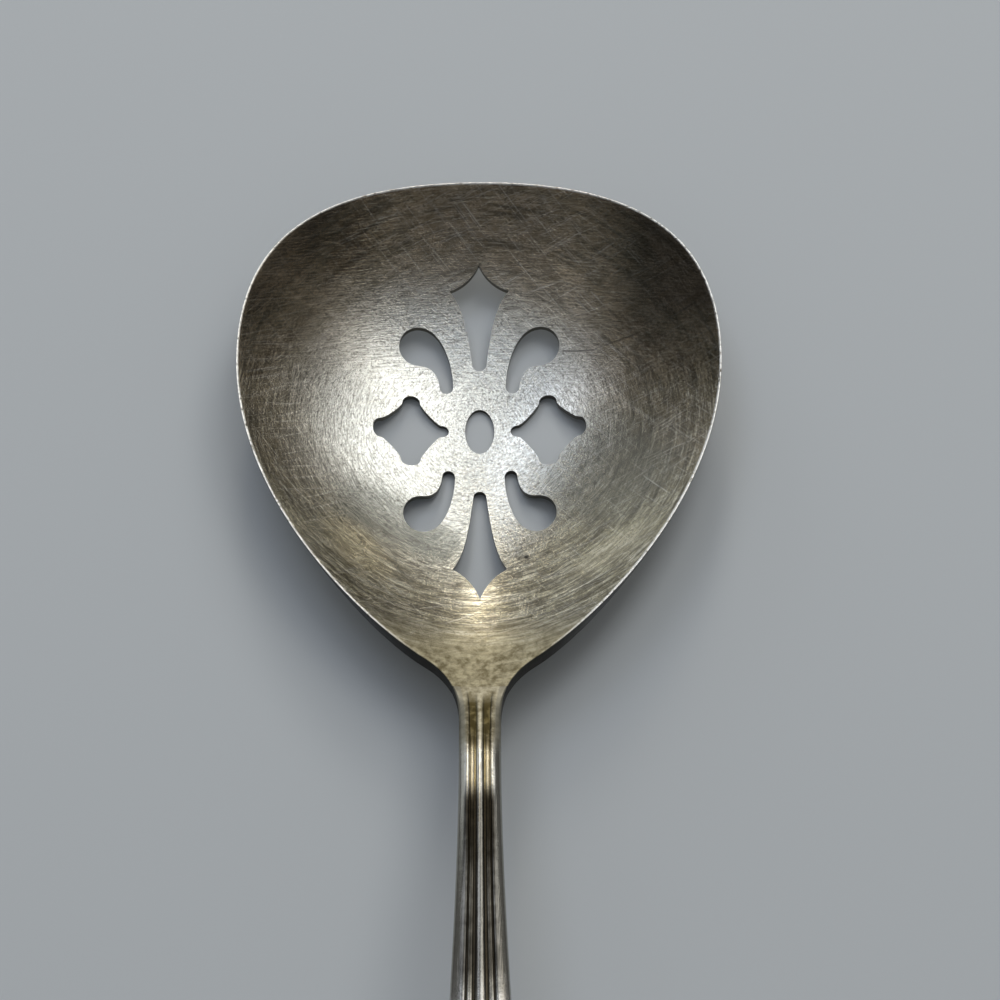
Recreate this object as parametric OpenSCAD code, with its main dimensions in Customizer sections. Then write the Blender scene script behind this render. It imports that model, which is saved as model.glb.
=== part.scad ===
// Pierced bonbon spoon: a dished and pierced bowl, and a reeded handle that meets it across the neck.
// Sizes are in millimetres. The spoon lies on its back: +Z is up, and +Y runs from handle to bowl.
// The origin is the middle of the spoon's outline at the height of the table.

/* [Bowl] */
// Width across the widest line
bowl_w = 48.2; // [44:0.2:54]
// Length from the joint at the neck to the front edge
bowl_l = 55.5; // [53:0.5:60]
// Distance of the widest line from the joint
widest_y = 36; // [34:0.5:38]
// Depth inside, from the rim down to the floor
bowl_depth = 7.05; // [6:0.05:9]
// Metal at the floor
floor_t = 0.5; // [0.45:0.05:0.9]
// Width of the flat edge round the rim
rim_w = 0.4; // [0.3:0.05:0.7]
// Diameter of the flat base that the bowl rests on
base_d = 9; // [7:0.5:12]
// Distance of the base's middle from the joint, which is also the middle of the piercing
base_y = 30.6; // [29:0.1:32]

/* [Joint] */
// Width of the joint face across the neck
joint_w = 5.2; // [4.8:0.1:6.5]
// Height of the joint face
joint_t = 2.9; // [2.5:0.1:3.4]

/* [Handle] */
// Length from the joint to the tip
handle_l = 72; // [60:1:90]
// Width at the narrowest place
neck_w = 3.9; // [3.4:0.1:4.6]
// Thickness at the top of the arch
neck_t = 2.5; // [2.2:0.1:3]
// Distance of the arch's top from the joint
arch_y = 34; // [30:0.5:38]
// Rise of the arch above the rim
arch_rise = 8.4; // [7.4:0.1:9.4]
// Width where the rounding of the tip begins
tip_w = 10.6; // [8.6:0.2:14]
// Thickness at the tip
tip_t = 1.8; // [1.5:0.1:2.4]
// Length of the rounding of the tip
tip_round = 9; // [6:0.5:11]
// Depth of the grooves between the reeds
groove_d = 0.32; // [0.2:0.02:0.42]
// Fall of the sloping flanks outside the reeds
flank_drop = 0.35; // [0.3:0.05:0.6]

/* [Piercing] */
// Width of the oval in the middle
oval_w = 2.95; // [2.4:0.05:3.4]
// Length of the oval
oval_l = 4.95; // [4:0.05:5.4]
// Distance from the middle of the piercing to the tip of the upper dart
dart_reach = 17.3; // [17:0.1:18.4]
// Length of the upper dart
dart_l = 10.65; // [10:0.05:11.6]
// Width across the upper dart's head
dart_w = 6.1; // [5:0.1:6.8]
// Distance from the middle to the middle of each four-lobed hole
foil_x = 6.9; // [6.7:0.05:7.3]
// Reach of its lobes
foil_reach = 3.8; // [3.4:0.05:4]
// Radius of the round end of a comma
comma_r = 2; // [1.7:0.05:2.1]
// Width of a comma's tail
comma_tail = 1.4; // [1:0.05:1.6]

/* [Hidden] */

rim_z = floor_t + bowl_depth;
base_r = base_d / 2;
joint_half = joint_w / 2;
neck_half = neck_w / 2;
tip_half = tip_w / 2;
origin_y = (bowl_l - handle_l) / 2;

// The wall of the dish rises as a power of the way from the base to the rim, inside and on the back.
dish_power = 1.9;
back_power = 1.6;
// The inside has no flat: its wall starts at this radius, which the oval in the middle cuts away.
floor_r = 1.1;
// The outer corner of the rim stands this high above the back of the wall.
edge_h = 0.25;
// Towards the joint the edge gets thick: from nothing at the first distance to all of it at the second.
thicken_y = [15, 3];
// How late the back takes up this thickness on its way out to the edge.
thicken_power = 3.5;
// The back is rounded: at its edges a section has lost this share of its thickness.
edge_lift = 0.14;

// The sides sweep into the neck at this point and slope, with a small hollow curve to the joint.
sweep_out = 2.6;
sweep_y = 3.2;
sweep = [joint_half + sweep_out, sweep_y];
sweep_slope = 1.5;
joint_slope = 0.42;
// Handles of the curves round the bowl: the first three are shares of the spans that they cross.
front_pull = 0.66;
shoulder_pull = 0.7;
waist_pull = 0.43;
sweep_pull = 4.35;
hollow_pull = [1.1, 0.9];
// The flat edge of the rim narrows to this width at the joint, over this length.
joint_edge_w = 0.05;
joint_edge_l = 4;

front_steps = 15;
side_steps = 14;
sweep_steps = 4;
joint_steps = 12;
inside_rings = 14;
back_rings = 9;
section_steps = 40;
neck_stations = 20;
arm_stations = 20;
curve_steps = 7;
// Places of a comma: the inner corner of its tail, the middle of its round end and its top.
comma_tail_x = 2.65;
comma_tail_y = 4.95;
comma_x = 6.15;
comma_top_y = 11.1;
// The handle length with which a curve follows a quarter of a circle of radius 1.
quarter = 0.552;
// Cutters stand out of the metal by this much.
over = 1;

// Places and half widths of the reeds across the handle, and how far they stand out of the grooves.
// All are shares: of the half width for the first two, and of the groove depth for the last.
reed_at = [0, 0.36, 0.6];
reed_half = [0.15, 0.1, 0.1];
reed_top = [1.15, 0.7, 1];
// The hollow sides of the neck run out after this length, and the handle widens beyond widen_y.
hollow_l = 4.6;
hollow_power = 3;
widen_y = 9;
widen_power = 1.75;
// The reeds are faint at the joint and come up over the first length; they fade again before the tip.
reed_in = 5;
reed_out = 6;
reed_faint = [0.25, 0.1];
flank_power = 1.5;
// The rounding of the tip, and how steeply the handle comes down to it.
tip_power = 2.4;
tip_slope = 0.38;
// Handles of the curves along the handle, as shares of the rise to the arch and of the rest.
rise_pull = [0.12, 0.45];
arm_pull = 0.35;
// The rounded end stops at this share of its length, with a small flat.
tip_stop = 0.995;

function mix(a, b, t) = a + (b - a) * t;
function clamp(v) = min(1, max(0, v));
function smooth(v) = let (c = clamp(v)) c * c * (3 - 2 * c);
function flip(pts) = [for (i = [len(pts) - 1:-1:0]) [-pts[i][0], pts[i][1]]];

function bezier_at(p, t) =
    pow(1 - t, 3) * p[0] + 3 * pow(1 - t, 2) * t * p[1] + 3 * (1 - t) * t * t * p[2] + pow(t, 3) * p[3];

// Points of a curve without its last one, so that curves follow each other with no doubled point.
function bezier(p, n) = [for (i = [0:n - 1]) bezier_at(p, i / n)];

// Right half of the rim seen from above, from the joint's corner to the front edge.
hollow_curve = [
    [joint_half, 0],
    [joint_half, 0] + hollow_pull[0] * [joint_slope, 1],
    sweep - hollow_pull[1] * [sweep_slope, 1],
    sweep
];
side_curve = [
    sweep,
    sweep + sweep_pull * [sweep_slope, 1],
    [bowl_w / 2, mix(widest_y, 0, waist_pull)],
    [bowl_w / 2, widest_y]
];
front_curve = [
    [bowl_w / 2, widest_y],
    [bowl_w / 2, mix(widest_y, bowl_l, shoulder_pull)],
    [front_pull * bowl_w / 2, bowl_l],
    [0, bowl_l]
];
right_rim = concat(
    bezier(hollow_curve, sweep_steps),
    bezier(side_curve, side_steps),
    bezier(front_curve, front_steps)
);
joint_line = [
    for (i = [1:joint_steps - 1]) [mix(-joint_half, joint_half, i / joint_steps), 0]
];
outline = concat(right_rim, [[0, bowl_l]], flip(right_rim), joint_line);
// The dish closes at the heel in a plain curve, and its wall goes on rising from there to the joint.
heel_bend = 1 / (2 * sweep_slope * sweep[0]);
heel_gap = base_y - sweep[1] + heel_bend * pow(sweep[0], 2);
middle = [0, base_y];

// A section is thickest in its middle; u runs from -1 to 1 across it.
function belly(u) = 1 - edge_lift * pow(abs(u), 4);
// Height of the outer edge under each point of the outline.
function thicken_at(y) = smooth((thicken_y[0] - y) / (thicken_y[0] - thicken_y[1]));
function edge_at(p) =
    p[1] <= 0 ? joint_t * belly(p[0] / joint_half)
              : mix(edge_h, joint_t * belly(1), thicken_at(p[1]));
function inset_at(p) = mix(joint_edge_w, rim_w, clamp(p[1] / joint_edge_l));

// Distance from the middle of the base to the closed curve of the dish, on the way to a point.
function dish_reach(p) =
    let (out = (p - middle) / norm(p - middle), bend = 4 * heel_bend * heel_gap * pow(out[0], 2))
    p[1] < sweep[1] ? 2 * heel_gap / (sqrt(pow(out[1], 2) + bend) - out[1]) : norm(p - middle);
// Share of the dish's wall that lies inside radius r, on the way to a point of the outline.
function wall_share(p, r) = (r - floor_r) / (dish_reach(p) - rim_w - floor_r);
function inside_z(p, r) = floor_t + bowl_depth * pow(wall_share(p, r), dish_power);
// The rim is level round the bowl and rises with the dish from the heel to the joint.
function rim_r(p) = norm(p - middle) - inset_at(p);
function rim_at(p) = inside_z(p, rim_r(p));
// Height of the back, a share s of the way out from the base.
function back_z(p, s) =
    pow(s, back_power) * (rim_at(p) - edge_h) - pow(s, thicken_power) * (edge_at(p) - edge_h);

function spot(p, r, z) = concat(middle + (p - middle) / norm(p - middle) * r, z);
function inside_ring(s) = [
    for (p = outline)
        let (r = mix(floor_r, rim_r(p), s))
        spot(p, r, inside_z(p, r))
];
function back_ring(s) = [for (p = outline) spot(p, mix(base_r, norm(p - middle), s), back_z(p, s))];
bowl_rings = concat(
    [for (i = [0:inside_rings]) inside_ring(i / inside_rings)],
    [[for (p = outline) concat(p, rim_at(p))]],
    [for (i = [back_rings:-1:0]) back_ring(i / back_rings)]
);

// Closes a row of equal rings into a solid with flat ends.
module skin(rings) {
    n = len(rings[0]);
    last = (len(rings) - 1) * n;
    polyhedron(
        points = [for (r = rings) each r],
        faces = concat(
            [[for (j = [n - 1:-1:0]) j]],
            [
                for (i = [0:len(rings) - 2], j = [0:n - 1])
                    let (k = (j + 1) % n)
                    each [
                        [i * n + j, i * n + k, (i + 1) * n + j],
                        [i * n + k, (i + 1) * n + k, (i + 1) * n + j]
                    ]
            ],
            [[for (j = [0:n - 1]) last + j]]
        )
    );
}

// The head comes to a point with hollow shoulders, and the stem ends in a half circle.
module dart(w, l, head_share) {
    head_l = head_share * l;
    stem_r = 0.12 * w;
    stem_y = stem_r - l;
    shoulder = [[0, 0], [0.1 * w, -0.46 * head_l], [0.25 * w, -0.8 * head_l], [w / 2, -head_l]];
    stem = [
        [w / 2, -head_l],
        [0.26 * w, -1.55 * head_l],
        [0.19 * w, -2.6 * head_l],
        [stem_r, stem_y]
    ];
    half = concat(bezier(shoulder, curve_steps), bezier(stem, curve_steps), [[stem_r, stem_y]]);
    polygon(concat(half, flip(half)));
    translate([0, stem_y])
        circle(stem_r, $fn = 24);
}

// Four lobes with round ends and hollow curves between them: outer, upper, inner and lower.
module foil() {
    cap = 0.8;
    half = [1.1, 0.9, 0.65, 1];
    shoulder = [1, 1, 1, 1.08] * foil_reach - [cap, cap, cap, cap];
    hollow = 0.35;
    polygon([
        for (i = [0:3])
            let (out = [cos(90 * i), sin(90 * i)], side = [-out[1], out[0]], next = (i + 1) % 4)
            let (a = shoulder[i] * out - half[i] * side)
            let (b = shoulder[i] * out + half[i] * side)
            let (c = shoulder[next] * side + half[next] * out)
            each concat(
                bezier([a, a + cap * 4 / 3 * out, b + cap * 4 / 3 * out, b], curve_steps),
                bezier([b, b - hollow * out, c - hollow * side, c], curve_steps)
            )
    ]);
}

// A round end high on the outside, with a tail that bends in towards the middle.
module comma() {
    tail = [comma_tail_x, comma_tail_y];
    tail_end = tail + [comma_tail, 0];
    tail_round = [0, -comma_tail * 0.7];
    head = [comma_x, comma_top_y - comma_r];
    outer_bend = [0.05, 1.45] * comma_r;
    inner_bend = [0.12, 0.8] * comma_r;
    top = head + [0, comma_r];
    outside = head + [comma_r, 0];
    bottom = head + [0, -comma_r];
    across = [quarter * comma_r, 0];
    along = [0, quarter * comma_r];
    polygon(concat(
        bezier([tail, tail + outer_bend, top - 2 * across, top], curve_steps),
        bezier([top, top + across, outside + along, outside], curve_steps),
        bezier([outside, outside - along, bottom + across, bottom], curve_steps),
        bezier([bottom, bottom - across, tail_end + inner_bend, tail_end], curve_steps),
        bezier([tail_end, tail_end + tail_round, tail + tail_round, tail], curve_steps)
    ));
}

module piercing() {
    // The lower dart and commas are slimmer and longer than the upper ones.
    lower_dart = [0.88 * dart_w, 1.21 * dart_l];
    lower_reach = 1.14 * dart_reach;
    lower_comma = [0.93, 1.07];
    // Shares of a dart's length that its head takes, above and below.
    head_share = [0.24, 0.275];
    scale([oval_w / oval_l, 1])
        circle(d = oval_l, $fn = 36);
    translate([0, dart_reach])
        dart(dart_w, dart_l, head_share[0]);
    translate([0, -lower_reach])
        rotate(180)
            dart(lower_dart[0], lower_dart[1], head_share[1]);
    for (side = [0, 1])
        mirror([side, 0])
            translate([foil_x, 0])
                foil();
    for (side = [0, 1])
        mirror([side, 0]) {
            comma();
            mirror([0, 1])
                scale(lower_comma)
                    comma();
        }
}

// The dished sheet, cut through by the piercing.
module bowl() {
    color("Silver")
        translate([0, -origin_y, 0])
            difference() {
                skin(bowl_rings);
                translate([0, base_y, -over])
                    linear_extrude(rim_z + 2 * over)
                        piercing();
            }
}

// The handle's face and back along the spoon: out of the dish, over the arch and down to the tip.
// Each point is a distance from the joint with the height of the face and of the back there.
joint_z = rim_at([0, 0]);
joint_cup = rim_at([joint_half, 0]) - joint_z;
wall_l = dish_reach([0, 0]) - rim_w - floor_r;
face_slope = dish_power * bowl_depth * pow(wall_share([0, 0], base_y), dish_power - 1) / wall_l;
back_rise = back_power * (joint_z - edge_h) - thicken_power * (joint_t - edge_h);
back_slope = back_rise / (base_y - base_r);
arm_l = handle_l - arch_y;
joint_at = [0, joint_z, joint_z - joint_t];
arch_at = [arch_y, rim_z + arch_rise, rim_z + arch_rise - neck_t];
tip_at = [handle_l, tip_t, 0];
rise_curve = [
    joint_at,
    joint_at + rise_pull[0] * arch_y * [1, face_slope, back_slope],
    arch_at - rise_pull[1] * arch_y * [1, 0, 0],
    arch_at
];
arm_curve = [
    arch_at,
    arch_at + arm_pull * arm_l * [1, 0, 0],
    tip_at - arm_pull * arm_l * [1, -tip_slope, -tip_slope],
    tip_at
];
spine = concat(
    bezier(rise_curve, neck_stations),
    [for (i = [0:arm_stations]) bezier_at(arm_curve, sin(90 * i / arm_stations))]
);

tip_y = handle_l - tip_round;
function straight_half(y) =
    neck_half
    + (joint_half - neck_half) * pow(clamp(1 - y / hollow_l), hollow_power)
    + (tip_half - neck_half) * pow(clamp((y - widen_y) / (tip_y - widen_y)), widen_power);
function half_at(y) =
    straight_half(y) * pow(1 - pow(tip_stop * clamp((y - tip_y) / tip_round), tip_power), 1 / tip_power);
function reed_share(y) =
    mix(reed_faint[0], 1, clamp(y / reed_in))
    * mix(reed_faint[1], 1, clamp((tip_y + tip_round / 3 - y) / reed_out));

// How far a point across the face stands out of the groove's floor, as a share of the groove depth.
function reed_at_u(u) =
    max([for (i = [0:2]) reed_top[i] * max(0, 1 - pow((u - reed_at[i]) / reed_half[i], 2))]);
// Fall of the face below its reference height, with reeds in the middle and plain flanks outside.
function face_drop(u) =
    u < reed_at[2] ? groove_d * (1 - reed_at_u(u))
                   : flank_drop * pow((u - reed_at[2]) / (1 - reed_at[2]), flank_power);

// At the joint the section is still hollow across like the dish, which fades with the sides of the neck.
function cup_at(y, u) = joint_cup * u * u * pow(clamp(1 - y / hollow_l), 2);

function section(p) =
    let (w = half_at(p[0]), share = reed_share(p[0]))
    concat(
        [
            for (i = [0:section_steps])
                let (u = 2 * i / section_steps - 1)
                [u * w, -p[0], p[1] + cup_at(p[0], u) - share * face_drop(abs(u))]
        ],
        [
            for (i = [joint_steps:-1:0])
                let (u = 2 * i / joint_steps - 1)
                [u * w, -p[0], cup_at(p[0], u) + mix(p[1], p[2], belly(u))]
        ]
    );

// The neck, arch and tip in one piece, reeded on the face and plain on the back.
module handle() {
    color("Gainsboro")
        translate([0, -origin_y, 0])
            skin([for (p = spine) section(p)]);
}

bowl();
handle();
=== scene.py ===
# %% [markdown]
# # A worn bonbon spoon in silver plate
# The spoon has two pieces: a broad, pierced bowl and a slender, reeded handle that meets it at the
# neck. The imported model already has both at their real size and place. Here each is modelled again
# as a fine, smooth mesh with softened edges, and then gets the scratches, tarnish and polish that
# years in a drawer have left on it.

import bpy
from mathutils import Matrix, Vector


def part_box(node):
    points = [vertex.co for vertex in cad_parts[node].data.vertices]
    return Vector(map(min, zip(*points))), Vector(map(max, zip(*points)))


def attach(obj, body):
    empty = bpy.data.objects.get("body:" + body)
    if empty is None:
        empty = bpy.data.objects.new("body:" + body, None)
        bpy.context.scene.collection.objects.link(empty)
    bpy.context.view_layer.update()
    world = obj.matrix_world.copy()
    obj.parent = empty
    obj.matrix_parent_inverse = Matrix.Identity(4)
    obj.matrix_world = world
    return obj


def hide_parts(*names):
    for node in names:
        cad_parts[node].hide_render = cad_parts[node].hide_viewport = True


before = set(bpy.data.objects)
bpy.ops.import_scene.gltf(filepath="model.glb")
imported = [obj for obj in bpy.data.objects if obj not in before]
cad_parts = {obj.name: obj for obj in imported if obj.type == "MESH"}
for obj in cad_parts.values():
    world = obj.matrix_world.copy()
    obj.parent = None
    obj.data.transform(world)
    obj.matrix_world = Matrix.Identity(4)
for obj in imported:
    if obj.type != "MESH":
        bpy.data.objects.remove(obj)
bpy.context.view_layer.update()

# %% [markdown]
# ## Sizes
# All shapes below are worked out in millimetres from the joint across the neck: x runs across the
# spoon, y along it (the bowl is at positive y, the handle at negative y) and z is the height above
# the table. The big sizes come from the frame, and one function turns such a point into metres at
# its place in the frame.

# %% Sizes from the frame
import bmesh
import bpy
import math
from mathutils import Matrix, Vector
from mathutils.geometry import interpolate_bezier

MM = 0.001
BOWL_LOW, BOWL_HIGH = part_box("bowl")
HANDLE_LOW, HANDLE_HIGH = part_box("handle")
JOINT = Vector((0, BOWL_LOW.y, 0))

bowl_half = BOWL_HIGH.x / MM
bowl_l = (BOWL_HIGH.y - BOWL_LOW.y) / MM
handle_l = (HANDLE_HIGH.y - HANDLE_LOW.y) / MM
handle_top = HANDLE_HIGH.z / MM


def place(x, y, z):
    return Vector((x, y, z)) * MM + JOINT


print(f"bowl {2 * bowl_half:.1f} x {bowl_l:.1f} mm")
print(f"handle {handle_l:.1f} mm long, {handle_top:.1f} mm high")

# %% [markdown]
# ## The rim's outline
# Seen from above, the bowl is a rounded heart: a broad front, full sides, and two hollow sweeps
# into the neck. By hand this is a curve of three stretches for one half, mirrored for the other.
# Bezier stretches keep it down to a few points and the pulls between them, and each stretch is cut
# into short steps that later become the corners of the mesh.

# %% Outline of the rim
joint_half = 2.6  # half the width at the joint
widest_y = 36  # where the bowl is widest
sweep = Vector((joint_half + 2.6, 3.2))  # where the neck opens into the heel
sweep_way = Vector((1.5, 1))  # the outline's direction there
joint_way = Vector((0.42, 1))  # and at the joint
joint_corner = Vector((joint_half, 0))
side = Vector((bowl_half, widest_y))
front = Vector((0, bowl_l))
SWEEP_STEPS, SIDE_STEPS, FRONT_STEPS, JOINT_STEPS = 8, 52, 48, 24


def mix(a, b, t):
    return a + (b - a) * t


def stretch(a, b, c, d, steps):
    return interpolate_bezier(Vector(a), Vector(b), Vector(c), Vector(d), steps + 1)[:-1]


def mirrored(points):
    return [Vector((-p.x, p.y)) for p in reversed(points)]


joint_pull = joint_corner + 1.1 * joint_way
sweep_pull = sweep - 0.9 * sweep_way
heel_pull = sweep + 4.35 * sweep_way
side_pull = (bowl_half, 0.57 * widest_y)
shoulder_pull = (bowl_half, mix(widest_y, bowl_l, 0.7))
front_pull = (0.66 * bowl_half, bowl_l)
right_rim = (
    stretch(joint_corner, joint_pull, sweep_pull, sweep, SWEEP_STEPS)
    + stretch(sweep, heel_pull, side_pull, side, SIDE_STEPS)
    + stretch(side, shoulder_pull, front_pull, front, FRONT_STEPS)
)
joint_shares = [i / JOINT_STEPS for i in range(1, JOINT_STEPS)]
joint_line = [Vector((mix(-joint_half, joint_half, share), 0)) for share in joint_shares]
outline = right_rim + [front] + mirrored(right_rim) + joint_line
print("rim outline:", len(outline), "corners")

# %% [markdown]
# ## The dish
# The bowl is a thin sheet pressed into a dish. It could be a disc pushed down in sculpt mode, but then
# its depth would be a guess. Instead a small ring is laid round the middle, and ring after ring is
# extruded from it: up the inside to the rim, and from there down the back to the base. A ring changes
# from a small circle at the middle to the heart of the rim, which scaling can't do, so each new ring is
# moved to places worked out from the dish's own curve. At the heel the dish closes in a plain curve, and
# its wall goes on rising from there into the neck, where the edge gets thick.

# %% Curve of the dish
floor_t = 0.5  # thickness in the middle
bowl_depth = 7.05
floor_r = 1.1  # where the inside begins to rise
rim_w = 0.4  # the depth is reached this far inside the rim
inside_power = 1.9  # how late the inside rises
base_y = 30.6  # the middle of the dish, from the joint
dish_mid = Vector((0, base_y))
heel_bend = 1 / (2 * sweep_way.x * sweep.x)
heel_gap = base_y - sweep.y + heel_bend * sweep.x ** 2


def dish_reach(p):
    # How far the dish reaches from its middle towards a point of the outline.
    way = p - dish_mid
    if p.y >= sweep.y:
        return way.length
    out = way.normalized()
    return 2 * heel_gap / (math.sqrt(out.y ** 2 + 4 * heel_bend * heel_gap * out.x ** 2) - out.y)


def inside_z(p, r):
    return floor_t + bowl_depth * ((r - floor_r) / (dish_reach(p) - rim_w - floor_r)) ** inside_power


print(f"rim {inside_z(front, bowl_l - base_y):.2f} mm above the table at the front")

# %% [markdown]
# The inside and the back are two curves over the same outline. A Solidify modifier would give the same
# thickness everywhere, but the metal is thin in the bowl and thick at the neck. So the back has a curve
# of its own: flat under the middle, rising to just below the rim, and lower where the edge gets thick.

# %% Rings of the dish
base_r = 4.5  # radius of the flat base underneath
edge_h = 0.25  # the back ends this far below the level of the rim
joint_t = 2.9  # thickness at the joint
back_power = 1.6  # how late the back rises
thicken_power = 3.5  # how late the back falls away under the thick edge
thick_y, thin_y = 3, 15  # the edge gets thick between these distances from the joint
rim_end = 4  # the rim's width runs out this far from the joint
BELLY = 0.14  # share by which the neck is thinner at its sides
INSIDE_RINGS = 40
BACK_RINGS = 26


def smooth(v):
    c = min(1, max(0, v))
    return c * c * (3 - 2 * c)


def belly(u):
    return 1 - BELLY * abs(u) ** 4


def edge_at(p):
    if p.y <= 0:
        return joint_t * belly(p.x / joint_half)
    return mix(edge_h, joint_t * belly(1), smooth((thin_y - p.y) / (thin_y - thick_y)))


def back_z(p, share):
    rim = inside_z(p, (p - dish_mid).length - rim_w * min(1, p.y / rim_end))
    return share ** back_power * (rim - edge_h) - share ** thicken_power * (edge_at(p) - edge_h)


def dish_ring(from_r, share, height):
    ring = []
    for p in outline:
        way = p - dish_mid
        r = mix(from_r, way.length, share)
        spot = dish_mid + way.normalized() * r
        ring.append(place(spot.x, spot.y, height(p, r)))
    return ring


def inside_ring(share):
    return dish_ring(floor_r, share, inside_z)


def back_ring(share):
    return dish_ring(base_r, share, lambda p, r: back_z(p, share))


bowl_rings = [inside_ring(i / INSIDE_RINGS) for i in range(INSIDE_RINGS + 1)]
bowl_rings += [back_ring(i / BACK_RINGS) for i in range(BACK_RINGS, -1, -1)]
print("bowl rings:", len(bowl_rings))

# %% [markdown]
# Bowl and handle are both closed skins, so one function builds both. Faces could be filled in by hand
# between the rings, but extruding makes them on the way: a circle becomes the first ring, its edges are
# extruded, the new corners are moved to the next ring, and at last the two open ends are filled.

# %% Extrude ring after ring


def loft(name, rings):
    bpy.ops.object.select_all(action="DESELECT")
    bpy.ops.mesh.primitive_circle_add(vertices=len(rings[0]), radius=MM, enter_editmode=True)
    piece = bpy.context.object
    piece.name = name
    piece.data.name = name
    for number, ring in enumerate(rings):
        if number:
            bpy.ops.mesh.extrude_edges_move()
        mesh = bmesh.from_edit_mesh(piece.data)
        mesh.verts.index_update()
        fresh = [corner for corner in mesh.verts if corner.select]
        fresh.sort(key=lambda corner: corner.index)
        for corner, spot in zip(fresh, ring):
            corner.co = spot
        bmesh.update_edit_mesh(piece.data)
    bpy.ops.mesh.select_all(action="SELECT")
    bpy.ops.mesh.fill_holes(sides=0)
    bpy.ops.mesh.select_all(action="SELECT")
    bpy.ops.mesh.normals_make_consistent(inside=False)
    bpy.ops.object.mode_set(mode="OBJECT")
    bpy.ops.object.origin_set(type="ORIGIN_CURSOR")
    print(name, "lofted:", len(piece.data.vertices), "corners")
    return piece


bowl = loft("bowl_dish", bowl_rings)

# %% [markdown]
# ## Softened edges
# No edge on a struck spoon is sharp: the rim was filed and polished, and wear has rounded it further.
# Rings could be set closer there, but a bevel on the sharp edges is simpler and gives each a narrow
# rounding that catches the light. The edges at the joint stay as they are, because there the two
# pieces lie against each other.

# %% Soften the rim
RIM_ROUND = 0.22  # mm
RIM_SHARP = 24  # degrees between two faces, from which their edge is rounded
RIM_SEGMENTS = 4
AT_JOINT = 0.02  # mm, within which a corner belongs to the joint


def soften(piece, angle, width, steps):
    bpy.ops.object.select_all(action="DESELECT")
    piece.select_set(True)
    bpy.context.view_layer.objects.active = piece
    bpy.ops.object.mode_set(mode="EDIT")
    bpy.ops.mesh.select_mode(type="EDGE")
    bpy.ops.mesh.select_all(action="DESELECT")
    bpy.ops.mesh.edges_select_sharp(sharpness=math.radians(angle))
    mesh = bmesh.from_edit_mesh(piece.data)
    for edge in mesh.edges:
        if all(abs(corner.co.y - JOINT.y) < AT_JOINT * MM for corner in edge.verts):
            edge.select = False
    chosen = sum(edge.select for edge in mesh.edges)
    bmesh.update_edit_mesh(piece.data)
    bpy.ops.mesh.bevel(offset=width * MM, segments=steps, affect="EDGES", clamp_overlap=True)
    bpy.ops.mesh.select_mode(type="VERT")
    bpy.ops.object.mode_set(mode="OBJECT")
    print(piece.name, "edges softened:", chosen)


soften(bowl, RIM_SHARP, RIM_ROUND, RIM_SEGMENTS)

# %% [markdown]
# ## The piercing
# Nine holes are cut through the middle of the bowl: an oval, a dart above and below it, a four-lobed
# hole on each side, and four commas. Their outlines could be traced with the knife, but that needs a
# steady hand. Here each is put together from Bezier stretches, in millimetres from the middle of the
# dish, and what lies on the left is mirrored from the right.

# %% Oval and darts
HOLE_STEPS = 14
OVAL_CORNERS = 64
QUARTER = 0.552  # the pull, in radii, that makes a stretch a quarter of a circle
oval_half = Vector((2.95, 4.95)) / 2
dart_reach, dart_w, dart_l = 17.3, 6.1, 10.65


def oval():
    turns = [2 * math.pi * i / OVAL_CORNERS for i in range(OVAL_CORNERS)]
    return [Vector((oval_half.x * math.cos(a), oval_half.y * math.sin(a))) for a in turns]


def dart(wide, long, head_share):
    # A pointed head with two wings, which draws in to a stem with a round end.
    head = head_share * long
    stem = 0.12 * wide
    tip = (0, 0)
    wing = (wide / 2, -head)
    foot = (stem, stem - long)
    end = (0, -long)
    half = (
        stretch(tip, (0.1 * wide, -0.46 * head), (0.25 * wide, -0.8 * head), wing, HOLE_STEPS)
        + stretch(wing, (0.26 * wide, -1.55 * head), (0.19 * wide, -2.6 * head), foot, HOLE_STEPS)
        + stretch(foot, (stem, foot[1] - QUARTER * stem), (QUARTER * stem, -long), end, HOLE_STEPS)
    )
    return half + [Vector(end)] + mirrored(half)[:-1]


upper_dart = [p + Vector((0, dart_reach)) for p in dart(dart_w, dart_l, 0.24)]
# The lower dart points the other way, and is narrower and longer.
lower_dart = [-p - Vector((0, 1.14 * dart_reach)) for p in dart(0.88 * dart_w, 1.21 * dart_l, 0.275)]
print("each dart:", len(upper_dart), "corners")

# %% [markdown]
# The other holes have rounded ends. These could be arcs of true circles, but a Bezier stretch comes so
# close that no eye can tell, and it bends into the next stretch without a corner. The four lobes differ
# a little from each other, so each has a width and a reach of its own.

# %% Four-lobed holes and commas
foil_x, foil_reach = 6.9, 3.8


def foil(reach):
    # Four lobes: outer, upper, inner and lower.
    cap = 0.8
    hollow = 0.35
    shoulders = [share * reach - cap for share in (1, 1, 1, 1.08)]
    halves = [1.1, 0.9, 0.65, 1]
    points = []
    for i, half in enumerate(halves):
        out = Vector((math.cos(i * math.pi / 2), math.sin(i * math.pi / 2)))
        across = Vector((-out.y, out.x))
        # Both shoulders of this lobe, and the near shoulder of the next one.
        a = shoulders[i] * out - half * across
        b = shoulders[i] * out + half * across
        c = shoulders[(i + 1) % 4] * across + halves[(i + 1) % 4] * out
        bulge = cap * 4 / 3 * out
        points += stretch(a, a + bulge, b + bulge, b, HOLE_STEPS)
        points += stretch(b, b - hollow * out, c - hollow * across, c, HOLE_STEPS)
    return points


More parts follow.
